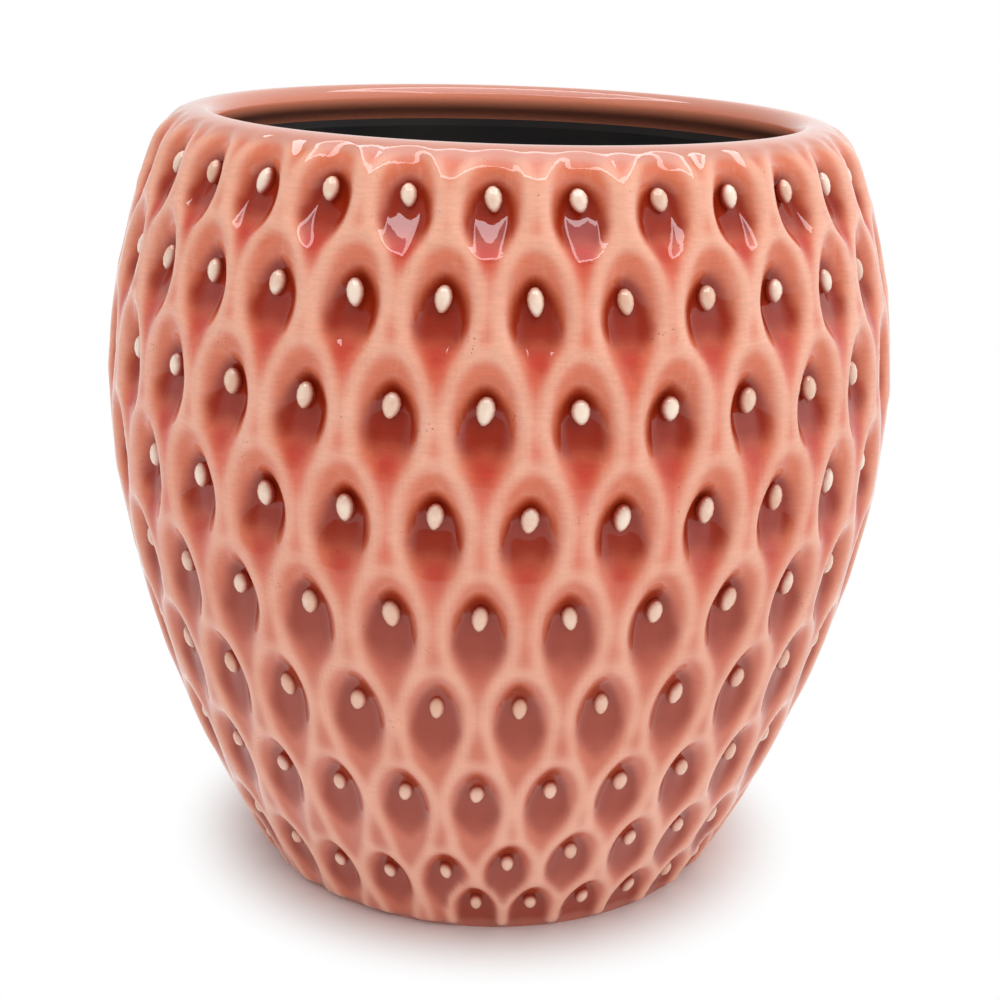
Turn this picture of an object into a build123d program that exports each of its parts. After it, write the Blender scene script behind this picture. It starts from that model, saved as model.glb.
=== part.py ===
from build123d import *
import math
import os

# A strawberry-shaped ceramic planter, in millimetres. The origin is on the floor under the
# pot's axis, +Z is up, and the side with the first seed of each odd row faces -Y.

# Outline of the wall: a short upper arc and a long lower one meet tangent below the belly.
BELLY_RADIUS = 100.0
BELLY_HEIGHT = 126.5
UPPER_ARC = 158.0
LOWER_ARC = 300.0
ARC_JOIN = -10.0
SHOULDER = 22.7
FOOT_EDGE = 2.5

# Rolled lip, and the wall behind the relief.
LIP_OUTER = 13.1
LIP_INNER = 4.0
LIP_NECK = 3.0
WALL = 9.0
FLOOR = 8.0
FLOOR_CORNER = 12.0

# Foot: a flat ring round a shallow recess.
FOOT_RING_OUTER = 59.5
FOOT_RING_INNER = 49.0
FOOT_RECESS = 1.6

# Waterproof coat inside, from the floor up to its edge below the crest.
COAT = 0.8
COAT_EDGE_DROP = 10.0
COAT_TAPER = 2.0

# Rows of hollows with a seed in each, from the lip down, staggered by half a step.
ROW_HEIGHTS = (186.5, 166.0, 143.0, 119.0, 95.0, 71.5, 46.5, 22.0, 8.5)
CELLS_PER_ROW = 30
FIRST_ANGLE = -1.6
STEP_ANGLE = 360.0 / CELLS_PER_ROW

# The lower rows wander up and down round the pot, more the lower they are.
WANDER_WAVES = 3
WANDER_BY_ROW = (0.0, 0.0, 0.0, 0.0, 0.5, 1.0, 2.0, 6.0, 0.0)
LEAST_ROOM_FOR_LAST_ROW = 11.0

# One hollow at the belly; the other rows scale with the square root of their radius.
BASIN_HALF_WIDTH = 7.7
BASIN_DEPTH = 1.7
BASIN_RISE = 3.0
TAIL_SHARE_OF_ROW_GAP = 1.26
LAST_TAIL = 8.0
CLIP_ABOVE_WALL = 0.9
CLIP_UNDER_WALL = 12.0
CLIP_SHARE_OF_STEP = 0.97
PIT_HALF_WIDTH = 5.6
PIT_DEPTH = 2.8
PIT_DROP = 0.9
PIT_TIP_DROP = 13.5
PIT_TIP_DEPTH = 1.1
SEED_HALF_WIDTH = 1.7
SEED_HALF_LENGTH = 2.8
SEED_SET_IN = 0.55


def on_circle(centre, radius, degrees):
    """Point of a circle in the radius-height plane."""
    angle = math.radians(degrees)
    return Vector(centre.X + radius * math.cos(angle), 0, centre.Z + radius * math.sin(angle))


UPPER_CENTRE = Vector(BELLY_RADIUS - UPPER_ARC, 0, BELLY_HEIGHT)
JOIN = on_circle(UPPER_CENTRE, UPPER_ARC, ARC_JOIN)
LOWER_CENTRE = on_circle(JOIN, -LOWER_ARC, ARC_JOIN)
SHOULDER_POINT = on_circle(UPPER_CENTRE, UPPER_ARC, SHOULDER)
LIP_CENTRE = on_circle(SHOULDER_POINT, -LIP_OUTER, SHOULDER)
CREST_RADIUS = LIP_CENTRE.X
CREST_HEIGHT = LIP_CENTRE.Z + LIP_OUTER
MOUTH_RADIUS = CREST_RADIUS - LIP_INNER
MOUTH_HEIGHT = CREST_HEIGHT - LIP_INNER
COAT_EDGE_HEIGHT = CREST_HEIGHT - COAT_EDGE_DROP


def arc_angle(centre, radius, height):
    """Angle at which an outline arc reaches a height."""
    return math.degrees(math.asin((height - centre.Z) / radius))


def on_wall(height):
    """Point of the wall's outline at a height, and the outward direction there."""
    if height < JOIN.Z:
        centre, radius = LOWER_CENTRE, LOWER_ARC
    elif height < SHOULDER_POINT.Z:
        centre, radius = UPPER_CENTRE, UPPER_ARC
    else:
        centre, radius = LIP_CENTRE, LIP_OUTER
    degrees = arc_angle(centre, radius, height)
    return on_circle(centre, radius, degrees), on_circle(Vector(0, 0, 0), 1.0, degrees)


def along_wall(height, distance):
    """Height reached after going a distance up the wall from a height."""
    steps = 12
    for _ in range(steps):
        _, outward = on_wall(height)
        height += distance / steps * outward.X
    return height


def arc(centre, radius, start, end):
    """Arc in the radius-height plane from one angle to another."""
    middle = on_circle(centre, radius, (start + end) / 2)
    return ThreePointArc(on_circle(centre, radius, start), middle, on_circle(centre, radius, end))


def turned(edges):
    """Solid turned about the pot's axis from a closed outline."""
    return revolve(make_face(Wire(edges)), Axis.Z)


def cavity_outline(inset, top):
    """Edges of the cavity's floor and side up to a height, moved in by an inset."""
    upper = UPPER_ARC - WALL - inset
    lower = LOWER_ARC - WALL - inset
    floor = FLOOR + inset
    corner = FLOOR_CORNER - inset
    reach = lower - corner
    corner_angle = arc_angle(LOWER_CENTRE, reach, floor + corner)
    corner_centre = on_circle(LOWER_CENTRE, reach, corner_angle)
    top_angle = arc_angle(UPPER_CENTRE, upper, top)
    return [
        Line((0, 0, floor), on_circle(corner_centre, corner, -90)),
        arc(corner_centre, corner, -90, corner_angle),
        arc(LOWER_CENTRE, lower, corner_angle, ARC_JOIN),
        arc(UPPER_CENTRE, upper, ARC_JOIN, top_angle),
    ]


def neck_curve(start):
    """Curve from the top of the cavity's side in under the lip to the mouth."""
    mouth = Vector(MOUTH_RADIUS, 0, MOUTH_HEIGHT)
    rise = Vector(0, 0, LIP_NECK)
    outward = (start - UPPER_CENTRE).normalized()
    climb = Vector(-outward.Z, 0, outward.X) * LIP_NECK
    return Bezier(start, start + climb, mouth - rise, mouth)


def make_blank():
    """Pot without its relief: wall, lip, cavity and foot."""
    foot_angle = arc_angle(LOWER_CENTRE, LOWER_ARC, FOOT_EDGE)
    foot_corner = on_circle(LOWER_CENTRE, LOWER_ARC, foot_angle)
    inner_lip_centre = Vector(CREST_RADIUS, 0, MOUTH_HEIGHT)
    side = cavity_outline(0, COAT_EDGE_HEIGHT)
    outline = [
        Line((0, 0, FOOT_RECESS), (FOOT_RING_INNER, 0, FOOT_RECESS)),
        Line((FOOT_RING_INNER, 0, FOOT_RECESS), (FOOT_RING_INNER + FOOT_RECESS, 0, 0)),
        Line((FOOT_RING_INNER + FOOT_RECESS, 0, 0), (FOOT_RING_OUTER, 0, 0)),
        Line((FOOT_RING_OUTER, 0, 0), foot_corner),
        arc(LOWER_CENTRE, LOWER_ARC, foot_angle, ARC_JOIN),
        arc(UPPER_CENTRE, UPPER_ARC, ARC_JOIN, SHOULDER),
        arc(LIP_CENTRE, LIP_OUTER, SHOULDER, 90),
        arc(inner_lip_centre, LIP_INNER, 90, 180),
        neck_curve(side[-1] @ 1),
        *side,
        Line((0, 0, FLOOR), (0, 0, FOOT_RECESS)),
    ]
    return turned(outline)


def make_coat():
    """Thin waterproof layer on the floor and the side of the cavity, thinned at its edge."""
    back = cavity_outline(0, COAT_EDGE_HEIGHT)
    front = cavity_outline(COAT, COAT_EDGE_HEIGHT - COAT_TAPER)
    outline = [
        *back,
        Line(back[-1] @ 1, front[-1] @ 1),
        *front,
        Line((0, 0, FLOOR), (0, 0, FLOOR + COAT)),
    ]
    return turned(outline)


def teardrop(ball_centre, ball_radius, tip):
    """Ball and the cone round it that runs out to a tip, both in the radius-height plane."""
    axis = ball_centre - tip
    length = axis.length
    touch = length - ball_radius**2 / length
    touch_radius = math.sqrt(ball_radius**2 - (length - touch) ** 2)
    middle = math.acos((touch - length) / ball_radius) / 2
    over = (length + ball_radius * math.cos(middle), ball_radius * math.sin(middle))
    profile = [
        Line((0, 0), (touch, touch_radius)),
        ThreePointArc((touch, touch_radius), over, (length + ball_radius, 0)),
        Line((length + ball_radius, 0), (0, 0)),
    ]
    solid = revolve(make_face(Wire(profile)), Axis.X)
    return Plane(origin=tip, x_dir=axis, z_dir=(0, 1, 0)).location * solid


def cell_scale(height):
    """Size of a row's hollows against those at the belly."""
    point, _ = on_wall(height)
    return math.sqrt(point.X / BELLY_RADIUS)


def basin_cutter(height, tail):
    """Shallow drop-shaped hollow whose tail runs down between the next row's hollows."""
    scale = cell_scale(height)
    half_width = BASIN_HALF_WIDTH * scale
    centre_height = along_wall(height, BASIN_RISE * scale)
    point, outward = on_wall(centre_height)
    bend = 2 * BASIN_DEPTH / half_width**2 - 1 / point.X
    ball = 1 / bend
    tip_height = max(along_wall(height, -tail), FOOT_EDGE)
    tip, _ = on_wall(tip_height)
    drop = teardrop(point + outward * (ball - BASIN_DEPTH), ball, tip)
    step = 2 * math.pi * point.X / CELLS_PER_ROW
    reach = tail + BASIN_RISE + 2 * half_width
    clip = Box(CLIP_SHARE_OF_STEP * step, 2 * reach, CLIP_ABOVE_WALL + CLIP_UNDER_WALL)
    middle = point + outward * (CLIP_ABOVE_WALL - CLIP_UNDER_WALL) / 2
    return drop & Plane(origin=middle, x_dir=(0, 1, 0), z_dir=outward).location * clip


def pit_cutter(height):
    """Deep egg-shaped pit that holds the seed, pointed at its lower end."""
    scale = cell_scale(height)
    half_width = PIT_HALF_WIDTH * scale
    depth = PIT_DEPTH * scale
    ball = (half_width**2 + depth**2) / (2 * depth)
    point, outward = on_wall(along_wall(height, -PIT_DROP * scale))
    tip, tip_outward = on_wall(max(along_wall(height, -PIT_TIP_DROP * scale), 1.0))
    centre = point + outward * (ball - BASIN_DEPTH - depth)
    return teardrop(centre, ball, tip - tip_outward * PIT_TIP_DEPTH)


def seed_solid(height):
    """Domed seed on a plug, standing in the upper half of its pit and set into the clay."""
    scale = cell_scale(height)
    half_width = SEED_HALF_WIDTH * scale
    half_length = SEED_HALF_LENGTH * scale
    point, outward = on_wall(height)
    climb = Vector(-outward.Z, 0, outward.X)
    floor_depth = BASIN_DEPTH + PIT_DEPTH * scale
    centre = point - outward * (floor_depth - half_width + SEED_SET_IN)
    upper_bow = EllipticalCenterArc((0, 0), half_length, half_width, start_angle=0, arc_size=90)
    lower_bow = EllipticalCenterArc((0, 0), half_length, half_width, start_angle=90, arc_size=90)
    profile = [upper_bow, lower_bow, Line((-half_length, 0), (half_length, 0))]
    dome = revolve(make_face(Wire(profile)), Axis.X, 180)
    plug = extrude(Ellipse(half_length, half_width), -half_width)
    return Plane(origin=centre, x_dir=climb, z_dir=outward).location * (dome + plug)


def row_cells(row):
    """Angle and height of each hollow in a row, counted from the lip."""
    stagger = STEP_ANGLE / 2 if row % 2 else 0.0
    cells = []
    for index in range(CELLS_PER_ROW):
        angle = FIRST_ANGLE + stagger + index * STEP_ANGLE
        wander = math.sin(math.radians(WANDER_WAVES * angle))
        height = ROW_HEIGHTS[row] + WANDER_BY_ROW[row] * wander
        room = ROW_HEIGHTS[row - 1] + WANDER_BY_ROW[row - 1] * wander - height
        if row == len(ROW_HEIGHTS) - 1 and room < LEAST_ROOM_FOR_LAST_ROW:
            continue
        cells.append((angle, height))
    return cells


def placed(shape, angle):
    """Shape turned about the pot's axis to an angle counted from -Y towards +X."""
    return Rot(0, 0, angle - 90) * shape


def tail_length(row):
    """Length of the tail of a row's hollows."""
    if row == len(ROW_HEIGHTS) - 1:
        return LAST_TAIL
    return TAIL_SHARE_OF_ROW_GAP * (ROW_HEIGHTS[row] - ROW_HEIGHTS[row + 1])


def make_pot(blank):
    """Wall with its hollows and pits cut, row by row."""
    pot = blank
    for row in range(len(ROW_HEIGHTS)):
        tail = tail_length(row)
        cells = row_cells(row)
        basins = [placed(basin_cutter(height, tail), angle) for angle, height in cells]
        pits = [placed(pit_cutter(height), angle) for angle, height in cells]
        pot = pot - basins - pits
    return pot


def make_seed_row(row):
    """All the seeds of one row, as separate solids."""
    return Compound(children=[placed(seed_solid(height), angle) for angle, height in row_cells(row)])


def save(shape, name):
    """Write one node's STEP file, with each edge as its space curve alone."""
    export_step(shape, f"parts/{name}.step", write_pcurves=False)


def main():
    """Build every node and write its STEP file."""
    os.makedirs("parts", exist_ok=True)
    save(make_pot(make_blank()), "pot_body")
    save(make_coat(), "inner_coat")
    for row in range(len(ROW_HEIGHTS)):
        save(make_seed_row(row), f"seed_row_{row + 1}")


main()
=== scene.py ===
"""Looks of the glazed strawberry-shaped planter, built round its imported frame."""

import logging
import math
from dataclasses import dataclass, field
from enum import Enum

import bpy
import numpy as np
from mathutils import Matrix, Vector


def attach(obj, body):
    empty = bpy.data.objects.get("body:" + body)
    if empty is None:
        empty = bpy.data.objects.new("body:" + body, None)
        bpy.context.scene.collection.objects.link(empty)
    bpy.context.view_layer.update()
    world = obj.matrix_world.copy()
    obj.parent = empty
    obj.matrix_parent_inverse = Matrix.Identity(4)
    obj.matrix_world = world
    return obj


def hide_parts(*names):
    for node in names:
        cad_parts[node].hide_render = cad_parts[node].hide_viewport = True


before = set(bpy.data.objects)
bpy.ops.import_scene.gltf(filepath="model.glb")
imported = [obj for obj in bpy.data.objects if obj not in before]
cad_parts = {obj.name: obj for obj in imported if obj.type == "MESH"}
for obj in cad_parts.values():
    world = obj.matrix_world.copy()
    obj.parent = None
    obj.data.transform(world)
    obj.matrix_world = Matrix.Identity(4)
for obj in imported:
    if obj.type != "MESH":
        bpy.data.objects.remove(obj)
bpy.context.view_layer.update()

BODY = "root"
# Rows count from 0 under the lip. After the first number the pits turn shallow, over so many rows.
LOW_FROM = 3
LOW_OVER = 2
# The tint of the bright frame that the glaze mirrors.
GLINT = (1.0, 0.93, 0.97)
log = logging.getLogger("planter")
Colour = tuple[float, float, float, float]


def srgb(red: int, green: int, blue: int) -> Colour:
    """Turn screen values from 0 to 255 into a linear colour.

    Args:
        red: Red on the screen's scale.
        green: Green on the screen's scale.
        blue: Blue on the screen's scale.

    Returns:
        The linear colour with full alpha.
    """
    def linear(value: int) -> float:
        """Undo the screen's curve for one channel."""
        share = value / 255
        return share / 12.92 if share <= 0.04045 else ((share + 0.055) / 1.055) ** 2.4
    return (linear(red), linear(green), linear(blue), 1.0)


def deselect_all() -> None:
    """Leave nothing selected, so that an operator acts on new geometry alone."""
    if bpy.context.object and bpy.context.object.mode != "OBJECT":
        bpy.ops.object.mode_set(mode="OBJECT")
    bpy.ops.object.select_all(action="DESELECT")


class Attribute(Enum):
    """Names of the colour attributes that the glazes read from the meshes."""

    GLAZE = "glaze_map"
    SEED = "seed_map"


@dataclass
class NodeTree:
    """Short way to place and link shader nodes in one tree."""

    tree: bpy.types.NodeTree

    def add(self, kind: str, values: dict | None = None, **settings: object) -> bpy.types.Node:
        """Place a node.

        Args:
            kind: The node's type name.
            values: Input sockets by name or number, each a value or another node's output.
            **settings: Properties of the node itself.

        Returns:
            The new node.
        """
        node = self.tree.nodes.new(kind)
        for name, value in settings.items():
            setattr(node, name, value)
        self.feed(node, values or {})
        return node

    def feed(self, node: bpy.types.Node, values: dict) -> None:
        """Set or link a node's inputs.

        Args:
            node: The node.
            values: Input sockets by name or number, each a value or another node's output.
        """
        for key, value in values.items():
            if isinstance(value, bpy.types.NodeSocket):
                self.tree.links.new(value, node.inputs[key])
            else:
                node.inputs[key].default_value = value

    def maths(self, operation: str, first: object, second: object = 0.0) -> bpy.types.NodeSocket:
        """Combine two values with a Math node and return its output."""
        node = self.add("ShaderNodeMath", {0: first, 1: second}, operation=operation)
        return node.outputs[0]

    def mix(self, share: object, first: object, second: object) -> bpy.types.NodeSocket:
        """Blend two colours.

        Args:
            share: How much of the second colour shows, a value or a node's output.
            first: The colour at a share of 0.
            second: The colour at a share of 1.

        Returns:
            The blended colour's output.
        """
        node = self.add("ShaderNodeMix", {0: share, 6: first, 7: second}, data_type="RGBA")
        return node.outputs[2]

    def steps(self, value: object, low: float, high: float, start: float = 0.0,
              end: float = 1.0) -> bpy.types.NodeSocket:
        """Map a value smoothly from one range to another.

        Args:
            value: The value, or a node's output.
            low: Where the change starts.
            high: Where the change ends.
            start: Result at the low end and below it.
            end: Result at the high end and above it.

        Returns:
            The mapped value's output.
        """
        node = self.add("ShaderNodeMapRange", {0: value, 1: low, 2: high, 3: start, 4: end},
                        interpolation_type="SMOOTHSTEP")
        return node.outputs[0]


def new_group(name: str, inputs: dict[str, float], outputs: dict[str, str]) -> NodeTree:
    """Start a shader node group with named sockets.

    Args:
        name: The group's name.
        inputs: Float inputs with their defaults.
        outputs: Output names with their socket types.

    Returns:
        The group's tree, holding its input and output nodes.
    """
    group = bpy.data.node_groups.new(name, "ShaderNodeTree")
    for label, value in inputs.items():
        group.interface.new_socket(label, in_out="INPUT",
                                   socket_type="NodeSocketFloat").default_value = value
    for label, kind in outputs.items():
        group.interface.new_socket(label, in_out="OUTPUT", socket_type=kind)
    group.nodes.new("NodeGroupInput")
    group.nodes.new("NodeGroupOutput")
    return NodeTree(group)


def new_material(name: str) -> tuple[bpy.types.Material, NodeTree, bpy.types.Node]:
    """Start a material.

    Args:
        name: The material's name.

    Returns:
        The material, its node tree and its surface shader.
    """
    material = bpy.data.materials.new(name)
    material.use_nodes = True
    net = NodeTree(material.node_tree)
    return material, net, net.tree.nodes["Principled BSDF"]


@dataclass(frozen=True)
class GlazeFlaws:
    """Group with the small marks of a fired glaze: specks, streaks, clouds, grain, ripples."""

    name: str = "glaze_flaws"

    def build(self) -> bpy.types.NodeTree:
        """Make the group once, or find it again.

        Returns:
            The node group.
        """
        if self.name in bpy.data.node_groups:
            return bpy.data.node_groups[self.name]
        net = new_group(self.name, {"Speck Size": 900.0, "Ripple Size": 60.0},
                        {"Specks": "NodeSocketFloat", "Streaks": "NodeSocketFloat",
                         "Mottle": "NodeSocketFloat", "Grain": "NodeSocketFloat",
                         "Height": "NodeSocketFloat"})
        source = net.tree.nodes["Group Input"].outputs
        place = net.add("ShaderNodeTexCoord").outputs["Object"]
        cells = net.add("ShaderNodeTexVoronoi",
                        {"Vector": place, "Scale": source["Speck Size"], "Randomness": 1.0})
        sparse = net.add("ShaderNodeTexNoise", {"Vector": place, "Scale": 140.0, "Detail": 2.0})
        near = net.steps(cells.outputs["Distance"], 0.10, 0.22, 1.0, 0.0)
        rare = net.steps(sparse.outputs[0], 0.60, 0.72)
        specks = net.maths("MULTIPLY", near, rare)
        slanted = net.add("ShaderNodeMapping", {"Vector": place, "Rotation": (0.3, 0.5, 0.2),
                                                "Scale": (1.0, 1.0, 0.22)})
        brush = net.add("ShaderNodeTexNoise", {"Vector": slanted.outputs[0], "Scale": 420.0,
                                               "Detail": 3.0, "Roughness": 0.6})
        streaks = net.steps(brush.outputs[0], 0.52, 0.74)
        cloud = net.add("ShaderNodeTexNoise", {"Vector": place, "Scale": 70.0, "Detail": 4.0,
                                               "Roughness": 0.6})
        ripple = net.add("ShaderNodeTexNoise", {"Vector": place, "Scale": source["Ripple Size"],
                                                "Detail": 1.5})
        fine = net.add("ShaderNodeTexNoise", {"Vector": place, "Scale": 260.0, "Detail": 1.0})
        waves = net.maths("ADD", ripple.outputs[0], net.maths("MULTIPLY", fine.outputs[0], 0.10))
        height = net.maths("SUBTRACT", waves, net.maths("MULTIPLY", specks, 0.25))
        level = net.add("ShaderNodeMapping", {"Vector": place, "Rotation": (0.12, -0.08, 0.0),
                                              "Scale": (0.35, 0.35, 1.5)})
        grain = net.add("ShaderNodeTexNoise", {"Vector": level.outputs[0], "Scale": 900.0,
                                               "Detail": 4.0, "Roughness": 0.7})
        net.feed(net.tree.nodes["Group Output"],
                 {"Specks": specks, "Streaks": streaks, "Mottle": cloud.outputs[0],
                  "Grain": grain.outputs[0], "Height": height})
        return net.tree


@dataclass(frozen=True)
class CoralGlaze:
    """Translucent coral glaze that thins on ridges and pools red-brown in hollows, with painted
    shade in the upper part of each pit and painted light on the band inside under the lip.
    """

    name: str = "coral_glaze"
    flat: Colour = srgb(218, 116, 84)
    flat_low: Colour = srgb(208, 114, 88)
    valley: Colour = srgb(222, 106, 80)
    ridge: Colour = srgb(240, 176, 150)
    # The pits' dark red-brown is pooled glaze and painted shade together. It covers the upper part
    # of each pit, round the seed, where the pit's upper wall keeps off the light from above.
    pit_glaze_and_shade_high: Colour = srgb(156, 42, 16)
    pit_glaze_and_shade_low: Colour = srgb(160, 64, 42)
    pool_high: Colour = srgb(198, 66, 48)
    pool_low: Colour = srgb(192, 84, 66)
    lip: Colour = srgb(212, 146, 128)
    # The band inside under the lip: its glaze colour with painted light, lifted to look lit from
    # above.
    under_lip_glaze_and_light: Colour = srgb(244, 150, 118)
    speck: Colour = srgb(120, 60, 44)
    low_height: float = 0.075
    high_height: float = 0.125
    lip_height: float = 0.1915
    lip_fade: float = 0.003
    lining_radius: float = 0.0800
    lining_height: float = 0.170
    cloudiness: float = 0.9
    streak_share: float = 0.16
    speck_share: float = 0.55
    grain_low: float = 0.03
    grain_high: float = 0.08
    ripple_height: float = 0.0006
    roughness: float = 0.35
    coat_roughness: float = 0.02

    def build(self) -> bpy.types.Material:
        """Make the material.

        Returns:
            The material, reading the glaze map attribute of the wall.
        """
        material, net, shader = new_material(self.name)
        place = net.add("ShaderNodeTexCoord").outputs["Object"]
        height = net.add("ShaderNodeSeparateXYZ", {0: place}).outputs["Z"]
        high = net.steps(height, self.low_height, self.high_height)
        marks = net.add("ShaderNodeAttribute", attribute_name=Attribute.GLAZE.value)
        parts = net.add("ShaderNodeSeparateColor", {0: marks.outputs["Color"]}).outputs
        flaws = net.add("ShaderNodeGroup", node_tree=GlazeFlaws().build())
        wobble = net.maths("MULTIPLY", net.maths("SUBTRACT", flaws.outputs["Mottle"], 0.5),
                           self.cloudiness)
        ridge = net.maths("ADD", parts[0], net.maths("MULTIPLY", wobble, 0.6))
        pit = net.maths("ADD", parts[1], net.maths("MULTIPLY", wobble, 0.5))
        pool = net.maths("ADD", parts[2], net.maths("MULTIPLY", wobble, 0.5))
        # The map's alpha is the share of a valley outside, and inside the share of the band under
        # the lip, whose glaze is painted lighter to stand for the light it gets from above.
        alpha = marks.outputs["Alpha"]
        grain = net.steps(flaws.outputs["Grain"], 0.36, 0.64, -0.5, 0.5)
        ground = net.mix(net.maths("MULTIPLY", alpha, high),
                         net.mix(high, self.flat_low, self.flat), self.valley)
        streaked = net.mix(net.maths("MULTIPLY", flaws.outputs["Streaks"],
                                     net.maths("MULTIPLY", high, self.streak_share)),
                           ground, self.ridge)
        thinned = net.mix(net.steps(ridge, 0.05, 0.95), streaked, self.ridge)
        red = net.mix(high, self.pool_low, self.pool_high)
        pooled = net.mix(net.steps(pool, 0.05, 0.95), thinned, red)
        # Pooled glaze and painted shade darken the upper part of each pit.
        dark = net.mix(high, self.pit_glaze_and_shade_low, self.pit_glaze_and_shade_high)
        sunk = net.mix(net.steps(pit, 0.05, 0.95), pooled, dark)
        rim = net.mix(net.steps(height, self.lip_height, self.lip_height + self.lip_fade), sunk,
                      self.lip)
        flat_place = net.add("ShaderNodeVectorMath", {0: place, 1: (1.0, 1.0, 0.0)},
                             operation="MULTIPLY").outputs[0]
        radius = net.add("ShaderNodeVectorMath", {0: flat_place}, operation="LENGTH")
        within = net.maths("LESS_THAN", radius.outputs["Value"], self.lining_radius)
        upper = net.maths("GREATER_THAN", height, self.lining_height)
        lining = net.maths("MULTIPLY", net.maths("MULTIPLY", within, upper), alpha)
        # Painted light: the band inside under the lip takes its lightened glaze here.
        inner = net.mix(lining, rim, self.under_lip_glaze_and_light)
        specked = net.mix(net.maths("MULTIPLY", flaws.outputs["Specks"], self.speck_share), inner,
                          self.speck)
        calm = net.steps(height, self.lip_height - 0.004, self.lip_height, 1.0, 0.15)
        fine = net.maths("MULTIPLY", net.maths("MULTIPLY", grain, calm),
                         net.steps(height, 0.06, 0.15, self.grain_low, self.grain_high))
        value = net.add("ShaderNodeHueSaturation", {"Color": specked,
                                                    "Value": net.maths("ADD", fine, 1.0)})
        bump = net.add("ShaderNodeBump", {"Height": flaws.outputs["Height"], "Strength": 0.5,
                                          "Distance": self.ripple_height})
        net.feed(shader, {"Base Color": value.outputs[0], "Normal": bump.outputs[0],
                          "Roughness": self.roughness, "Coat Weight": 1.0, "Coat IOR": 1.5,
                          "Coat Roughness": self.coat_roughness, "Specular IOR Level": 0.0})
        return material


@dataclass(frozen=True)
class SeedGlaze:
    """Thin glaze over the raised seeds: pale on top, red where it meets the pit."""

    name: str = "seed_glaze"
    crown_high: Colour = srgb(252, 232, 212)
    crown_low: Colour = srgb(238, 192, 168)
    skirt: Colour = srgb(172, 62, 40)
    stain: Colour = srgb(226, 168, 136)
    low_height: float = 0.060
    high_height: float = 0.130
    ripple_height: float = 0.0004
    roughness: float = 0.25
    coat_roughness: float = 0.04

    def build(self) -> bpy.types.Material:
        """Make the material.

        Returns:
            The material, reading the seed map attribute.
        """
        material, net, shader = new_material(self.name)
        place = net.add("ShaderNodeTexCoord").outputs["Object"]
        height = net.add("ShaderNodeSeparateXYZ", {0: place}).outputs["Z"]
        high = net.steps(height, self.low_height, self.high_height)
        marks = net.add("ShaderNodeAttribute", attribute_name=Attribute.SEED.value)
        rise = net.add("ShaderNodeSeparateColor", {0: marks.outputs["Color"]}).outputs[0]
        flaws = net.add("ShaderNodeGroup", node_tree=GlazeFlaws().build())
        wobble = net.maths("MULTIPLY", net.maths("SUBTRACT", flaws.outputs["Mottle"], 0.5), 0.4)
        clean = net.mix(high, self.crown_low, self.crown_high)
        crown = net.mix(net.steps(flaws.outputs["Mottle"], 0.40, 0.66, 0.0, 0.75), clean, self.stain)
        share = net.steps(net.maths("ADD", rise, wobble), 0.50, 0.88)
        bump = net.add("ShaderNodeBump", {"Height": flaws.outputs["Height"], "Strength": 0.15,
                                          "Distance": self.ripple_height})
        net.feed(shader, {"Base Color": net.mix(share, self.skirt, crown),
                          "Normal": bump.outputs[0], "Roughness": self.roughness,
                          "Coat Weight": 1.0, "Coat Roughness": self.coat_roughness})
        return material


@dataclass(frozen=True)
class BlackCoat:
    """Near-black waterproof coat, brushed or poured, with a soft sheen."""

    name: str = "black_coat"
    base: Colour = srgb(58, 58, 60)
    # Greenish-grey clouds over the black, spread at random.
    greenish_grey: Colour = srgb(86, 82, 72)
    smoothest: float = 0.34
    roughest: float = 0.5
    grain_height: float = 0.0005

    def build(self) -> bpy.types.Material:
        """Make the material.

        Returns:
            The material.
        """
        material, net, shader = new_material(self.name)
        place = net.add("ShaderNodeTexCoord").outputs["Object"]
        cloud = net.add("ShaderNodeTexNoise", {"Vector": place, "Scale": 18.0, "Detail": 4.0})
        share = net.steps(cloud.outputs[0], 0.42, 0.75, 0.0, 0.5)
        grain = net.add("ShaderNodeTexNoise", {"Vector": place, "Scale": 240.0, "Detail": 3.0})
        bump = net.add("ShaderNodeBump", {"Height": grain.outputs[0], "Strength": 0.2,
                                          "Distance": self.grain_height})
        net.feed(shader, {"Base Color": net.mix(share, self.base, self.greenish_grey),
                          "Roughness": net.steps(cloud.outputs[0], 0.3, 0.7, self.smoothest,
                                                 self.roughest),
                          "Normal": bump.outputs[0]})
        return material


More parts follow.
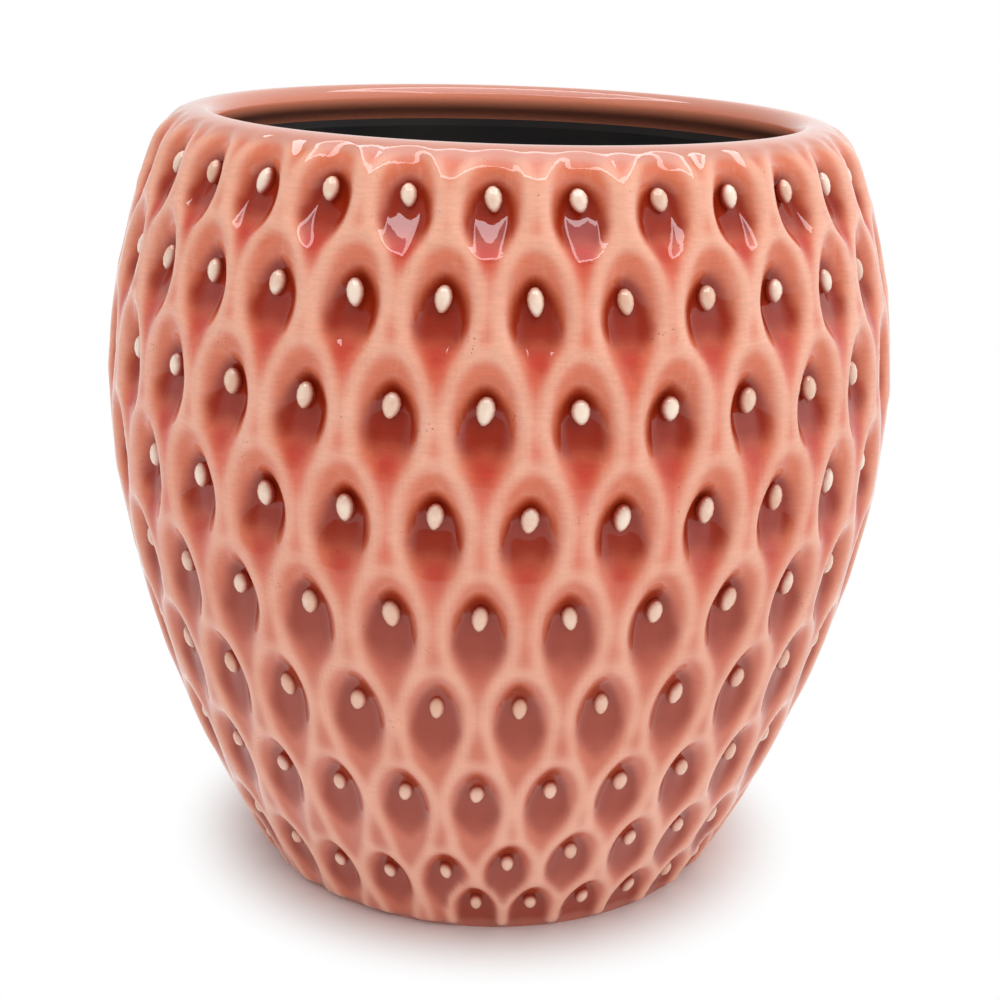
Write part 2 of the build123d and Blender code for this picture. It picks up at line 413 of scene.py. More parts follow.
@dataclass(frozen=True)
class Outline:
    """The pot's turned outline, as arcs in the radius-height plane, in metres."""

    belly_radius: float = 0.1000
    belly_height: float = 0.1265
    upper_arc: float = 0.1580
    lower_arc: float = 0.3000
    join: float = math.radians(-10.0)
    shoulder: float = math.radians(22.7)
    lip_outer: float = 0.0131
    lip_inner: float = 0.0040
    lip_neck: float = 0.0030
    wall: float = 0.0090
    floor: float = 0.0080
    floor_corner: float = 0.0120
    corner_bend: float = 0.0035
    foot_edge: float = 0.0025
    foot_ring_outer: float = 0.0595
    foot_ring_inner: float = 0.0490
    foot_recess: float = 0.0016
    coat_edge_drop: float = 0.0100
    crowding: float = 0.30

    def centres(self) -> tuple[Vector, Vector, Vector]:
        """Find the centres of the three arcs of the outside.

        Returns:
            The centres of the lower, the upper and the lip arc.
        """
        upper = Vector((self.belly_radius - self.upper_arc, self.belly_height))
        lower = upper + (self.upper_arc - self.lower_arc) * direction(self.join)
        lip = upper + (self.upper_arc - self.lip_outer) * direction(self.shoulder)
        return lower, upper, lip

    def crest(self) -> Vector:
        """Top of the lip."""
        return self.centres()[2] + Vector((0.0, self.lip_outer))

    def wall_at(self, height: float) -> tuple[Vector, float]:
        """Which arc the wall follows at a height, and how wide it is there.

        Args:
            height: Height above what the pot stands on.

        Returns:
            The arc's centre, and the wall's radius before its relief.
        """
        lower, upper, lip = self.centres()
        centre, reach = lip, self.lip_outer
        if height < upper.y + self.upper_arc * math.sin(self.join):
            centre, reach = lower, self.lower_arc
        elif height < upper.y + self.upper_arc * math.sin(self.shoulder):
            centre, reach = upper, self.upper_arc
        return centre, centre.x + math.sqrt(max(reach**2 - (height - centre.y) ** 2, 0.0))

    def outside(self, count: int) -> list[tuple[Vector, float]]:
        """Points up the outside from the foot's edge to the crest, closer towards the crest.

        Args:
            count: How many points.

        Returns:
            Each point with the angle of its outward direction.
        """
        lower, upper, lip = self.centres()
        foot = math.asin((self.foot_edge - lower.y) / self.lower_arc)
        arcs = ((lower, self.lower_arc, foot, self.join),
                (upper, self.upper_arc, self.join, self.shoulder),
                (lip, self.lip_outer, self.shoulder, math.pi / 2))
        lengths = [radius * (end - start) for _, radius, start, end in arcs]
        points = []
        for index in range(count):
            share = index / (count - 1)
            along = sum(lengths) * (share + self.crowding * share * (1 - share))
            for (centre, radius, start, _), length in zip(arcs, lengths):
                if along <= length + 1e-9:
                    break
                along -= length
            angle = start + along / radius
            points.append((centre + radius * direction(angle), angle))
        return points

    def inside(self) -> list[Vector]:
        """Points from the crest down the inside to the middle of the floor.

        Returns:
            The points, without the crest itself.
        """
        lower, upper, _ = self.centres()
        crest = self.crest()
        lip = crest - Vector((0.0, self.lip_inner))
        points = arc_points(lip, self.lip_inner, math.pi / 2, math.pi, 6)
        reach = self.upper_arc - self.wall
        top = math.asin((crest.y - self.coat_edge_drop - upper.y) / reach)
        start = upper + reach * direction(top)
        mouth = points[-1]
        neck = mouth - Vector((0.0, self.lip_neck))
        climb = Vector((-math.sin(top), math.cos(top))) * self.lip_neck
        points += [bezier(mouth, neck, start + climb, start, step / 5) for step in range(1, 5)]
        points.append(start)
        points += arc_points(upper, reach, top, self.join, 4)
        reach = self.lower_arc - self.wall
        base = math.asin((self.floor + self.floor_corner - lower.y) / reach)
        points += arc_points(lower, reach, self.join, base, 4)
        long_side = self.floor_corner - self.corner_bend
        points.append(points[-1] + Vector((-self.corner_bend, -long_side)))
        points.append(Vector((points[-1].x - long_side, self.floor)))
        points.append(Vector((0.0, self.floor)))
        return points

    def underside(self) -> list[Vector]:
        """Points from the middle of the foot out to its edge.

        Returns:
            The points, without the foot's rounded edge.
        """
        ring = self.foot_ring_inner + self.foot_recess
        return [Vector((0.0, self.foot_recess)), Vector((self.foot_ring_inner, self.foot_recess)),
                Vector((ring, 0.0)), Vector((self.foot_ring_outer, 0.0))]


def direction(angle: float) -> Vector:
    """Unit vector at an angle in the radius-height plane."""
    return Vector((math.cos(angle), math.sin(angle)))


def arc_points(centre: Vector, radius: float, start: float, end: float,
               count: int) -> list[Vector]:
    """Points along an arc, without its first one.

    Args:
        centre: The arc's centre.
        radius: Its radius.
        start: Angle where it starts.
        end: Angle where it ends.
        count: How many points.

    Returns:
        The points, the last one at the arc's end.
    """
    return [centre + radius * direction(start + (end - start) * step / count)
            for step in range(1, count + 1)]


def bezier(first: Vector, second: Vector, third: Vector, fourth: Vector, share: float) -> Vector:
    """Point of a cubic curve.

    Args:
        first: Where the curve starts.
        second: What it leaves towards.
        third: What it arrives from.
        fourth: Where it ends.
        share: How far along the curve, from 0 to 1.

    Returns:
        The point.
    """
    rest = 1 - share
    return (rest**3 * first + 3 * rest**2 * share * second
            + 3 * rest * share**2 * third + share**3 * fourth)


@dataclass(frozen=True)
class Cell:
    """One hollow of the relief: where its seed stands and how large it is."""

    row: int
    angle: float
    height: float
    scale: float


@dataclass(frozen=True)
class Layout:
    """Where the hollows stand, in rows from the lip down, staggered by half a step.

    Heights are in metres and the first hollow's angle is in degrees.
    """

    heights: tuple[float, ...] = (0.1865, 0.166, 0.143, 0.119, 0.095, 0.0715, 0.0465, 0.022,
                                  0.0085)
    wander: tuple[float, ...] = (0.0, 0.0, 0.0, 0.0, 0.0005, 0.001, 0.002, 0.006, 0.0)
    waves: int = 3
    count: int = 30
    first: float = -1.6
    least_room: float = 0.011

    def cells(self, row: int, outline: Outline) -> list[Cell]:
        """The hollows of one row.

        Args:
            row: The row, 0 under the lip.
            outline: The wall that they stand on.

        Returns:
            One cell for each hollow.
        """
        step = 360.0 / self.count
        found = []
        for index in range(self.count):
            angle = self.first + (step / 2 if row % 2 else 0.0) + index * step
            wave = math.sin(math.radians(self.waves * angle))
            height = self.heights[row] + self.wander[row] * wave
            above = self.heights[row - 1] + self.wander[row - 1] * wave
            if row == len(self.heights) - 1 and above - height < self.least_room:
                continue
            scale = math.sqrt(outline.wall_at(height)[1] / outline.belly_radius)
            found.append(Cell(row, math.radians(angle), height, scale))
        return found


def low_share(row: np.ndarray | int) -> np.ndarray | float:
    """How far a row belongs to the low ones, with their longer and shallower pits."""
    return np.clip((row - LOW_FROM) / LOW_OVER, 0.0, 1.0)


@dataclass
class Relief:
    """Depth of the wall's relief and how the glaze and the painted shade in the pits lie on it, over
    a grid of the wall.

    Lengths are in metres for a hollow at the belly, and places count up the wall from its seed.
    """

    outline: Outline
    layout: Layout
    columns: int
    rise: float = 0.0123
    half_width: float = 0.0083
    widest: float = -0.0015
    waist: float = 0.0046
    waist_drop: float = 0.0230
    hidden_round: float = 0.0030
    crisp_round: float = 0.0012
    soft_round: float = 0.0019
    ridge_glow: float = 0.0016
    ridge_bulge: float = 0.0011
    hand_tilt: float = 0.07
    hand_size: float = 0.04
    hand_depth: float = 0.14
    draw: int = 7
    basin_depth: float = 0.0014
    basin_end: float = -0.0120
    tail_depth: float = 0.0011
    tail_end: float = -0.0360
    tail_fade: float = 0.0100
    pit_depth: float = 0.0040
    pit_widest: float = -0.0045
    pit_rise: float = 0.0113
    pit_fall: float = 0.0106
    pit_half_width: float = 0.0066
    slope_start: float = -0.0020
    low_longer: float = 0.18
    low_shallower: float = 0.42
    knoll_half_width: float = 0.0023
    knoll_half_length: float = 0.0033
    knoll_height: float = 0.0007
    pool_bottom: float = -0.0150
    pool_top: float = -0.0045
    pool_sag: float = 0.0030
    drip_place: float = 0.0158
    drip_size: float = 0.0032
    valley_bottom: float = -0.0170
    valley_top: float = -0.0090
    open_wall: float = 0.02
    middle_drop: float = 0.012
    middle_reach: float = 0.034
    spare_reach: float = 0.004
    sector: float = 0.30
    points: np.ndarray = field(init=False)
    angles: np.ndarray = field(init=False)
    along: np.ndarray = field(init=False)

    def lay_grid(self, rows: int) -> None:
        """Set the grid's rows up the wall.

        Args:
            rows: How many rows from the foot's edge to the crest.
        """
        found = self.outline.outside(rows)
        self.points = np.array([tuple(point) for point, _ in found])
        self.angles = np.array([angle for _, angle in found])
        steps = np.hypot(*np.diff(self.points, axis=0).T)
        self.along = np.concatenate([[0.0], np.cumsum(steps)])

    def side(self, drop: np.ndarray, scale: float) -> np.ndarray:
        """Half width of a hollow below its widest place.

        Args:
            drop: Distance down from the widest place, at least 0.
            scale: Size of the hollow.

        Returns:
            The half width there.
        """
        narrow = ease(drop, 0.0, self.waist_drop * scale)
        return scale * (self.half_width + (self.waist - self.half_width) * narrow)

    def edge_distance(self, across: np.ndarray, up: np.ndarray, scale: float) -> np.ndarray:
        """Signed distance to a hollow's arch, positive inside it.

        Args:
            across: Distance sideways from the seed.
            up: Distance up the wall from the seed.
            scale: Size of the hollow.

        Returns:
            The distance for each place.
        """
        wide = self.half_width * scale
        tall = (self.rise - self.widest) * scale
        over = up - self.widest * scale
        radial = np.sqrt((across / wide) ** 2 + (over / tall) ** 2) + 1e-9
        slope = np.sqrt((across / wide**2) ** 2 + (over / tall**2) ** 2) / radial
        dome = (1 - radial) / np.maximum(slope, 1.0 / (wide + tall))
        drop = np.maximum(-over, 0.0)
        flank = self.side(drop, scale) - np.abs(across)
        return np.where(over > 0, dome, flank)

    def shape(self, rows: int) -> tuple[np.ndarray, np.ndarray, np.ndarray]:
        """Work out the relief over the grid.

        Args:
            rows: How many rows up the wall.

        Returns:
            The depth under the outline, the glaze map with ridge, pit and pool, and the
            share of each place that lies in the valley under a pit.
        """
        self.lay_grid(rows)
        angle = (math.radians(self.layout.first)
                 + np.arange(self.columns) * 2 * math.pi / self.columns)
        near = np.full((rows, self.columns), self.open_wall)
        owner_across = np.zeros((rows, self.columns))
        owner_up = np.full((rows, self.columns), self.open_wall)
        owner_scale = np.ones((rows, self.columns))
        owner_row = np.full((rows, self.columns), -1.0)
        owned = np.zeros((rows, self.columns), dtype=bool)
        deeper = np.ones((rows, self.columns))
        hand = np.random.default_rng(self.draw)
        for cell in self.every_cell():
            tilt, size, extra = hand.uniform(-1.0, 1.0, 3)
            centre = np.interp(cell.height, self.points[:, 1], self.along)
            reach = self.middle_reach * cell.scale + self.spare_reach
            band = np.abs(self.along - centre + self.middle_drop) < reach
            index = np.flatnonzero(band)
            turn = (angle - cell.angle + math.pi) % (2 * math.pi) - math.pi
            sector = np.flatnonzero(np.abs(turn) < self.sector)
            across = self.points[index, 0][:, None] * turn[sector][None, :]
            up = (self.along[index] - centre)[:, None] + 0 * across
            across = across * (1 + self.hand_size * size) + self.hand_tilt * tilt * up
            distance = self.edge_distance(across, up, cell.scale)
            spot = np.ix_(index, sector)
            inside = distance > 0
            outside = soft_least(near[spot], np.abs(distance))
            near[spot] = np.where(inside, distance, outside)
            for store, value in ((owner_across, across), (owner_up, up),
                                 (owner_scale, cell.scale), (owner_row, cell.row),
                                 (deeper, 1 + self.hand_depth * extra)):
                store[spot] = np.where(inside, value, store[spot])
            owned[spot] = owned[spot] | inside
        return self.finish_map(near, owner_across, owner_up, owner_scale, owner_row, owned,
                               deeper)

    def every_cell(self) -> list[Cell]:
        """All the hollows from the lip down, after a row of which only the tails show.

        Returns:
            The hidden row's cells, numbered -1, and then those of each row.
        """
        half_step = math.radians(360.0 / self.layout.count) / 2
        rows = [Cell(-1, cell.angle + half_step, cell.height, cell.scale)
                for cell in self.layout.cells(0, self.outline)]
        for row in range(len(self.layout.heights)):
            rows.extend(self.layout.cells(row, self.outline))
        return rows

    def finish_map(self, near: np.ndarray, across: np.ndarray, up: np.ndarray,
                   scale: np.ndarray, row: np.ndarray, owned: np.ndarray,
                   deeper: np.ndarray) -> tuple[np.ndarray, np.ndarray, np.ndarray]:
        """Turn the distances into depth and glaze.

        Args:
            near: Distance to the nearest ridge.
            across: Place across the owning hollow.
            up: Place up the owning hollow.
            scale: Size of the owning hollow.
            row: Row of the owning hollow, -1 for the hidden one.
            owned: Where any hollow reaches.
            deeper: How much deeper or shallower each pit is than the common one.

        Returns:
            The depth, the glaze map and the share of the valleys.
        """
        rounding = np.interp(row, (-1, 0, 4),
                             (self.hidden_round, self.crisp_round, self.soft_round))
        away = 1 - np.exp(-((near / rounding) ** 1.5))
        place = up / scale
        inside_depth = np.where(place > self.basin_end, self.basin_depth, self.tail_depth)
        fade = np.clip((place - self.tail_end) / self.tail_fade, 0.0, 1.0)
        depth = away * inside_depth * np.where(owned, 0.35 + 0.65 * fade, 0.0)
        over = place - self.pit_widest
        lower = low_share(row)
        longer = 1 + self.low_longer * lower
        reach = np.where(over > 0, over / self.pit_rise, -over / self.pit_fall) / longer
        girth = np.abs(across) / scale / self.pit_half_width
        edge = girth**1.5 + np.clip(reach, 0.0, 3.0) ** np.where(over > 0, 1.9, 1.7)
        room = np.clip(1 - np.clip(reach, 0.0, 1.0) ** 1.7, 0.02, 1.0)
        bowl = 1 - ease(np.where(over > 0, edge, girth**1.5 / room), 0.62, 1.10)
        foot = self.pit_widest - self.pit_fall * longer
        bowl = bowl * np.clip((place - foot) / (self.slope_start - foot), 0.0, 1.0)
        real = row >= 0
        depth = depth + np.where(real, bowl * self.pit_depth * scale * deeper
                                 * (1 - self.low_shallower * lower), 0.0)
        knoll = np.exp(-((across / self.knoll_half_width) ** 2
                         + (place / self.knoll_half_length) ** 2))
        depth = depth - np.where(real, knoll * self.knoll_height, 0.0)
        depth = smooth(depth, 2)
        bulge = (smooth(depth, 9) - depth) / self.ridge_bulge
        glow = np.exp(-((near / (self.ridge_glow * (1 - 0.22 * lower))) ** 1.6))
        line = np.interp(row, (1, 3, 5), (0.85, 0.60, 0.80))
        ridge = np.clip(0.40 * bulge + line * glow, 0.0, 1.0)
        strong = np.where(row <= 3, 1.0, np.where(row == 4, 0.6, 0.35))
        inside = 1 - np.where(over > 0, ease(edge, 0.58, 1.02), ease(edge, 0.70, 1.12))
        sag = place + self.pool_sag * np.clip(girth, 0.0, 1.0) ** 2
        low = 1 - ease(sag, self.pool_bottom, self.pool_top)
        drip = np.exp(-(((place + self.drip_place) / self.drip_size) ** 2))
        drip = drip * np.exp(-((across / scale / self.drip_size) ** 2))
        pool = np.clip(inside * low + 0.5 * drip, 0.0, 1.0) * strong * real
        # The pit mask covers the upper part of each pit, which takes pooled glaze and painted shade.
        pit = inside * (1 - low * strong) * real
        glaze = np.stack([smooth(ridge, 1), smooth(pit, 1), smooth(pool, 1)], axis=-1)
        valley = smooth(1 - ease(place, self.valley_bottom, self.valley_top), 2) * strong
        return depth, glaze, valley


def ease(values: np.ndarray, low: float, high: float) -> np.ndarray:
    """Rise smoothly from 0 to 1.

    Args:
        values: The values to map.
        low: The value that gives 0.
        high: The value that gives 1.

    Returns:
        The shares.
    """
    share = np.clip((values - low) / (high - low), 0.0, 1.0)
    return share * share * (3 - 2 * share)


def soft_least(first: np.ndarray, second: np.ndarray, sharp: float = 1600.0) -> np.ndarray:
    """Least of two distances with the crease between them rounded.

    Args:
        first: The first distance.
        second: The second distance.
        sharp: How narrow the rounding is, as one over a length.

    Returns:
        The rounded least, at least 0.
    """
    low = np.minimum(first, second)
    spread = np.exp(-sharp * (first - low)) + np.exp(-sharp * (second - low))
    return np.maximum(low - np.log(spread) / sharp, 0.0)


def smooth(values: np.ndarray, passes: int) -> np.ndarray:
    """Blur a grid that closes on itself sideways.

    Args:
        values: The grid.
        passes: How many times each point takes in its neighbours.

    Returns:
        The blurred grid.
    """
    for _ in range(passes):
        values = (np.roll(values, 1, 1) + 2 * values + np.roll(values, -1, 1)) / 4
        padded = np.concatenate([values[:1], values, values[-1:]], axis=0)
        values = (padded[:-2] + 2 * values + padded[2:]) / 4
    return values


@dataclass
class PotBody:
    """The cast wall with its relief, lip, inside and foot, as one closed shell."""

    outline: Outline
    layout: Layout
    columns: int = 540
    rows: int = 160
    lip_light: float = 0.0012
    lip_fade: float = 0.0030

    def trace(self) -> tuple[list[Vector], int]:
        """The whole turned outline from the middle of the foot to the middle of the floor.

        Returns:
            The points, and the number of the first one of the wall.
        """
        under = self.outline.underside()
        wall = [point for point, _ in self.outline.outside(self.rows)]
        return under + wall + self.outline.inside(), len(under)

    def build(self) -> bpy.types.Object:
        """Model the shell by extruding its outline and spinning it.

        Returns:
            The finished piece.
        """
        points, first = self.trace()
        start = math.radians(self.layout.first)
        sideways = Vector((math.sin(start), -math.cos(start), 0.0))
        deselect_all()
        bpy.ops.mesh.primitive_plane_add(size=0.01, location=(0, 0, 0))
        pot = bpy.context.object
        pot.name = "pot_wall"
        bpy.ops.object.mode_set(mode="EDIT")
        bpy.ops.mesh.select_mode(type="VERT")
        bpy.ops.mesh.select_all(action="SELECT")
        bpy.ops.mesh.merge(type="CENTER")
        here = points[0]
        bpy.ops.transform.translate(value=sideways * here.x + Vector((0, 0, here.y)))
        for there in points[1:]:
            move = sideways * (there.x - here.x) + Vector((0, 0, there.y - here.y))
            bpy.ops.mesh.extrude_region_move(TRANSFORM_OT_translate={"value": move})
            here = there
        bpy.ops.mesh.select_all(action="SELECT")
        bpy.ops.mesh.spin(steps=self.columns, angle=2 * math.pi, center=(0, 0, 0),
                          axis=(0, 0, 1))
        bpy.ops.mesh.select_all(action="SELECT")
        bpy.ops.mesh.remove_doubles(threshold=1e-6)
        bpy.ops.mesh.normals_make_consistent(inside=False)
        bpy.ops.object.mode_set(mode="OBJECT")
        self.emboss(pot, points, first)
        return pot

    def emboss(self, pot: bpy.types.Object, points: list[Vector], first: int) -> None:
        """Press the relief into the wall and store how the glaze, the painted shade in the pits and
        the painted light under the lip lie.

        Args:
            pot: The spun shell.
            points: The outline it was spun from.
            first: The number of the wall's first point.
        """
        relief = Relief(self.outline, self.layout, self.columns)
        depth, glaze, valley = relief.shape(self.rows)
        mesh = pot.data
        places = np.zeros(len(mesh.vertices) * 3)
        mesh.vertices.foreach_get("co", places)
        places = places.reshape(-1, 3)
        radius = np.hypot(places[:, 0], places[:, 1])
        line = np.array([tuple(point) for point in points])
        key = np.argmin(np.abs(radius[:, None] - line[None, :, 0])
                        + np.abs(places[:, 2][:, None] - line[None, :, 1]), axis=1)
        turn = np.arctan2(places[:, 0], -places[:, 1]) - math.radians(self.layout.first)
        column = np.round(turn / (2 * math.pi) * self.columns).astype(int) % self.columns
        row = key - first
        wall = (row >= 0) & (row < self.rows)
        row = np.clip(row, 0, self.rows - 1)
        sunk = np.where(wall, depth[row, column], 0.0)
        lean = relief.angles[row]
        share = np.where(radius > 1e-9, 1 / np.maximum(radius, 1e-9), 0.0)
        for axis in (0, 1):
            places[:, axis] -= sunk * np.cos(lean) * places[:, axis] * share
        places[:, 2] -= sunk * np.sin(lean)
        mesh.vertices.foreach_set("co", places.reshape(-1))
        colours = np.zeros((len(places), 4))
        colours[:, :3] = np.where(wall[:, None], glaze[row, column], 0.0)
        crest = self.outline.crest()
        # Under the crest the inside fades into the band whose glaze is painted lighter for the light
        # from above.
        under = np.clip((crest.y - places[:, 2] - self.lip_light) / self.lip_fade, 0.0, 1.0)
        colours[:, 3] = np.where(key >= first + self.rows, under, 0.0)
        colours[:, 3] = np.where(wall, valley[row, column], colours[:, 3])
        store = mesh.color_attributes.new(Attribute.GLAZE.value, "FLOAT_COLOR", "POINT")
        store.data.foreach_set("color", colours.reshape(-1))
        mesh.shade_smooth()
        mesh.update()

    def dress(self, pot: bpy.types.Object) -> None:
        """Give the shell its glaze and put it in place of the cast body.

        Args:
            pot: The finished piece.
        """
        pot.data.materials.append(CoralGlaze().build())
        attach(pot, BODY)
        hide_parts("pot_body")


@dataclass
class SeedRow:
    """One row of raised seeds, each standing in the upper half of its pit."""

    row: int
    outline: Outline
    layout: Layout
    half_width: float = 0.0021
    half_length: float = 0.0031
    stand: float = 0.0020
    buried: float = 0.35
    sunk: float = 0.0046
    low_rise: float = 0.0007
    taper: float = 0.22
    turn: float = 0.20
    spread: float = 0.09
    draw: int = 11

    def model_one(self) -> bpy.types.Object:
        """Model a seed lying at the origin, its length along Z and its back to +Y.

        Returns:
            The seed.
        """
        deselect_all()
        bpy.ops.mesh.primitive_uv_sphere_add(segments=10, ring_count=7, radius=1.0)
        seed = bpy.context.object
        bpy.ops.object.mode_set(mode="EDIT")
        bpy.ops.mesh.select_all(action="SELECT")
        bpy.ops.transform.resize(value=(self.half_width, self.stand, self.half_length))
        bpy.ops.object.mode_set(mode="OBJECT")
        for vertex in seed.data.vertices:
            low = max(-vertex.co.z / self.half_length, 0.0)
            vertex.co.x *= 1 - self.taper * low
        return seed

    def build(self) -> bpy.types.Object:
        """Copy the seed into every pit of the row.

        Returns:
            The row as one object.
        """
        seed = self.model_one()
        copies = []
        hand = np.random.default_rng(self.row + self.draw)
        for cell in self.layout.cells(self.row, self.outline):
            roll, size, slim = hand.uniform(-1.0, 1.0, 3)
            shape = Matrix.Rotation(self.turn * roll, 4, "Y") @ Matrix.Diagonal(
                (1 + self.spread * slim, 1.0, 1 + self.spread * size, 1.0))
            copy = seed.copy()
            copy.data = seed.data.copy()
            bpy.context.collection.objects.link(copy)
            copy.data.transform(self.place(cell) @ shape)
            self.mark(copy, seed)
            copies.append(copy)
        bpy.data.objects.remove(seed)
        deselect_all()
        for copy in copies:
            copy.select_set(True)
        bpy.context.view_layer.objects.active = copies[0]
        bpy.ops.object.join()
        row = bpy.context.object
        row.name = f"seeds_{self.row + 1}"
        row.data.shade_smooth()
        return row

    def place(self, cell: Cell) -> Matrix:
        """Where a seed stands.

        Args:
            cell: The hollow that holds it.

        Returns:
            The matrix that takes the seed from the origin into its pit.
        """
        centre, radius = self.outline.wall_at(cell.height)
        lean = math.atan2(cell.height - centre.y, radius - centre.x)
        shallow = float(low_share(self.row)) * self.low_rise
        depth = (self.sunk - shallow) * cell.scale - self.stand * self.buried
        spot = Vector((0.0, -(radius - depth * math.cos(lean)),
                       cell.height - depth * math.sin(lean)))
        turn = Matrix.Rotation(cell.angle, 4, "Z")
        tilt = Matrix.Rotation(-lean, 4, "X")
        return turn @ Matrix.Translation(spot) @ tilt @ Matrix.Scale(cell.scale, 4)

    def mark(self, copy: bpy.types.Object, seed: bpy.types.Object) -> None:
        """Store how far each point of a seed stands out of its pit.

        Args:
            copy: The placed seed.
            seed: The seed at the origin.
        """
        store = copy.data.color_attributes.new(Attribute.SEED.value, "FLOAT_COLOR", "POINT")
        for vertex, entry in zip(seed.data.vertices, store.data):
            rise = 0.5 - 0.5 * vertex.co.y / self.stand
            entry.color = (rise, rise, rise, 1.0)

    def dress(self, row: bpy.types.Object, glaze: bpy.types.Material) -> None:
        """Give the seeds their glaze and put them in place of the CAD ones.

        Args:
            row: The row's object.
            glaze: The seeds' material.
        """
        row.data.materials.clear()
        row.data.materials.append(glaze)
        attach(row, BODY)
        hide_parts(f"seed_row_{self.row + 1}")


@dataclass
class InnerCoat:
    """The waterproof coat, kept as the frame has it, with its finish."""

    node: str = "inner_coat"

    def dress(self) -> bpy.types.Object:
        """Give the coat its material.

        Returns:
            The coat's object.
        """
        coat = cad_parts[self.node]
        coat.data.materials.clear()
        coat.data.materials.append(BlackCoat().build())
        return coat


@dataclass(frozen=True)
class Lamp:
    """One rectangle of light over the pot, seen by matt or by shiny surfaces."""

    name: str
    width: float
    depth: float
    place: tuple[float, float, float]
    radiance: float
    tint: tuple[float, float, float] = GLINT
    matt: bool = False

    def hang(self) -> None:
        """Make the lamp, facing down."""
        data = bpy.data.lights.new(self.name, "AREA")
        data.shape = "RECTANGLE"
        data.size = self.width
        data.size_y = self.depth
        data.color = self.tint
        data.energy = self.radiance * math.pi * self.width * self.depth
        light = bpy.data.objects.new(self.name, data)
        light.location = self.place
        light.visible_diffuse = self.matt
        light.visible_glossy = not self.matt
        bpy.context.collection.objects.link(light)


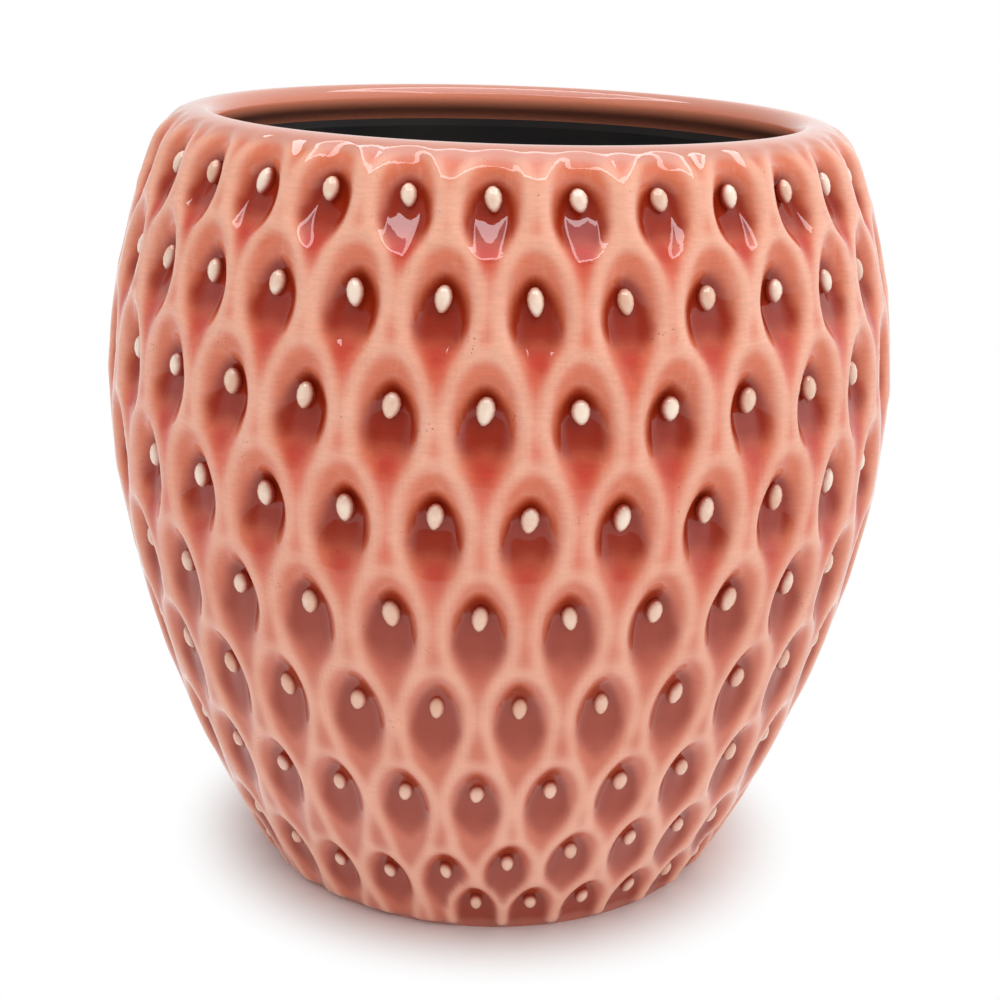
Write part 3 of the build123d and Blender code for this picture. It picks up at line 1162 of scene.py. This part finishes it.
@dataclass
class Studio:
    """White backdrop, pale floor, soft light and the camera of the photograph."""

    camera_place: tuple[float, float, float] = (0.0, -0.46082, 0.23806)
    camera_aim: tuple[float, float, float] = (0.00117, 0.0, 0.09348)
    roll: float = 0.0317
    lens: float = 1812.4 * 36 / 1000
    plain: float = 0.92
    dark: float = 0.34
    bright: float = 1.0
    dark_from: float = -0.90
    dark_to: float = -0.35
    from_right: float = 0.30
    roof: float = 0.5
    floor_clear: float = 0.060
    floor_white: float = 0.088
    floor_radius: float = 3.0
    floor_tone: float = 0.93

    def build(self) -> None:
        """Set the floor, the lights, the world and the camera."""
        self.lay_floor()
        self.hang_lights()
        self.set_world()
        self.set_camera()

    def lay_floor(self) -> None:
        """Lay the floor, white to the camera, with the object's shadow on it."""
        deselect_all()
        bpy.ops.mesh.primitive_circle_add(vertices=96, radius=self.floor_radius, fill_type="NGON")
        floor = bpy.context.object
        floor.name = "studio_floor"
        material, net, shader = new_material("studio_floor")
        tone = (self.floor_tone, self.floor_tone, self.floor_tone, 1.0)
        net.feed(shader, {"Base Color": tone, "Roughness": 0.7, "Specular IOR Level": 0.2})
        place = net.add("ShaderNodeTexCoord").outputs["Object"]
        away = net.add("ShaderNodeVectorMath", {0: place}, operation="LENGTH").outputs["Value"]
        path = net.add("ShaderNodeLightPath")
        seen = net.maths("MAXIMUM", path.outputs["Is Camera Ray"],
                         net.maths("MAXIMUM", path.outputs["Is Glossy Ray"],
                                   path.outputs["Is Transmission Ray"]))
        far = net.maths("MULTIPLY", net.steps(away, self.floor_clear, self.floor_white), seen)
        white = net.add("ShaderNodeEmission", {"Color": (1.0, 1.0, 1.0, 1.0)})
        both = net.add("ShaderNodeMixShader", {0: far, 1: shader.outputs[0], 2: white.outputs[0]})
        net.feed(net.tree.nodes["Material Output"], {"Surface": both.outputs[0]})
        floor.data.materials.append(material)

    def hang_lights(self) -> None:
        """Hang a soft light, and a panel in a bright frame that the glaze mirrors."""
        for lamp in (Lamp("soft_top", 0.50, 0.40, (0.0, -0.12, 0.70), 1.7, (1.0, 0.96, 0.90), True),
                     Lamp("panel", 0.50, 0.46, (0.0, -0.07, 0.69), 1.6, (0.96, 0.76, 0.90)),
                     Lamp("strip_front", 0.66, 0.052, (0.0, -0.326, 0.685), 7.5),
                     Lamp("strip_back", 0.66, 0.080, (0.0, 0.200, 0.685), 6.5),
                     Lamp("strip_left", 0.080, 0.46, (-0.290, -0.07, 0.685), 6.5),
                     Lamp("strip_right", 0.080, 0.46, (0.290, -0.07, 0.685), 6.5)):
            lamp.hang()

    def set_world(self) -> None:
        """Light from all round, white to the camera."""
        world = bpy.data.worlds.new("studio")
        bpy.context.scene.world = world
        world.use_nodes = True
        net = NodeTree(world.node_tree)
        back = net.tree.nodes["Background"]
        path = net.add("ShaderNodeLightPath")
        way = net.add("ShaderNodeTexCoord").outputs["Generated"]
        parts = net.add("ShaderNodeSeparateXYZ", {0: way}).outputs
        front = net.steps(parts["Y"], self.dark_from, self.dark_to, self.dark, self.bright)
        lean = net.maths("ADD", net.maths("MULTIPLY", parts["X"], self.from_right), 1.0)
        roof = net.steps(parts["Z"], 0.2, 0.9, 1.0, self.roof)
        tent = net.maths("MULTIPLY", net.maths("MULTIPLY", front, lean), roof)
        soft = net.maths("MULTIPLY", lean, self.plain)
        shine = net.maths("MULTIPLY", path.outputs["Is Glossy Ray"],
                          net.maths("SUBTRACT", tent, soft))
        light = net.maths("ADD", shine, soft)
        open_view = net.maths("MAXIMUM", path.outputs["Is Camera Ray"],
                              path.outputs["Is Transmission Ray"])
        strength = net.maths("MAXIMUM", open_view, light)
        net.feed(back, {"Color": (1.0, 1.0, 1.0, 1.0), "Strength": strength})

    def set_camera(self) -> None:
        """Place the camera where the photograph was taken from."""
        data = bpy.data.cameras.new("camera")
        data.sensor_width = 36.0
        data.lens = self.lens
        camera = bpy.data.objects.new("camera", data)
        place = Vector(self.camera_place)
        look = Vector(self.camera_aim) - place
        turn = look.to_track_quat("-Z", "Y").to_matrix().to_4x4()
        camera.matrix_world = Matrix.Translation(place) @ turn @ Matrix.Rotation(
            self.roll, 4, "Z")
        bpy.context.collection.objects.link(camera)
        bpy.context.scene.camera = camera
        bpy.context.scene.view_settings.view_transform = "Standard"


def main() -> None:
    """Build and dress every piece, then the studio."""
    logging.basicConfig(level=logging.INFO, format="%(name)s: %(message)s")
    outline, layout = Outline(), Layout()
    body = PotBody(outline, layout)
    pot = body.build()
    body.dress(pot)
    log.info("%s with %d faces", pot.name, len(pot.data.polygons))
    glaze = SeedGlaze().build()
    for index in range(len(layout.heights)):
        seeds = SeedRow(index, outline, layout)
        row = seeds.build()
        seeds.dress(row, glaze)
        log.info("%s with %d faces", row.name, len(row.data.polygons))
    coat = InnerCoat().dress()
    log.info("%s dressed", coat.name)
    Studio().build()
    log.info("studio set")


if __name__ == "__main__":
    main()
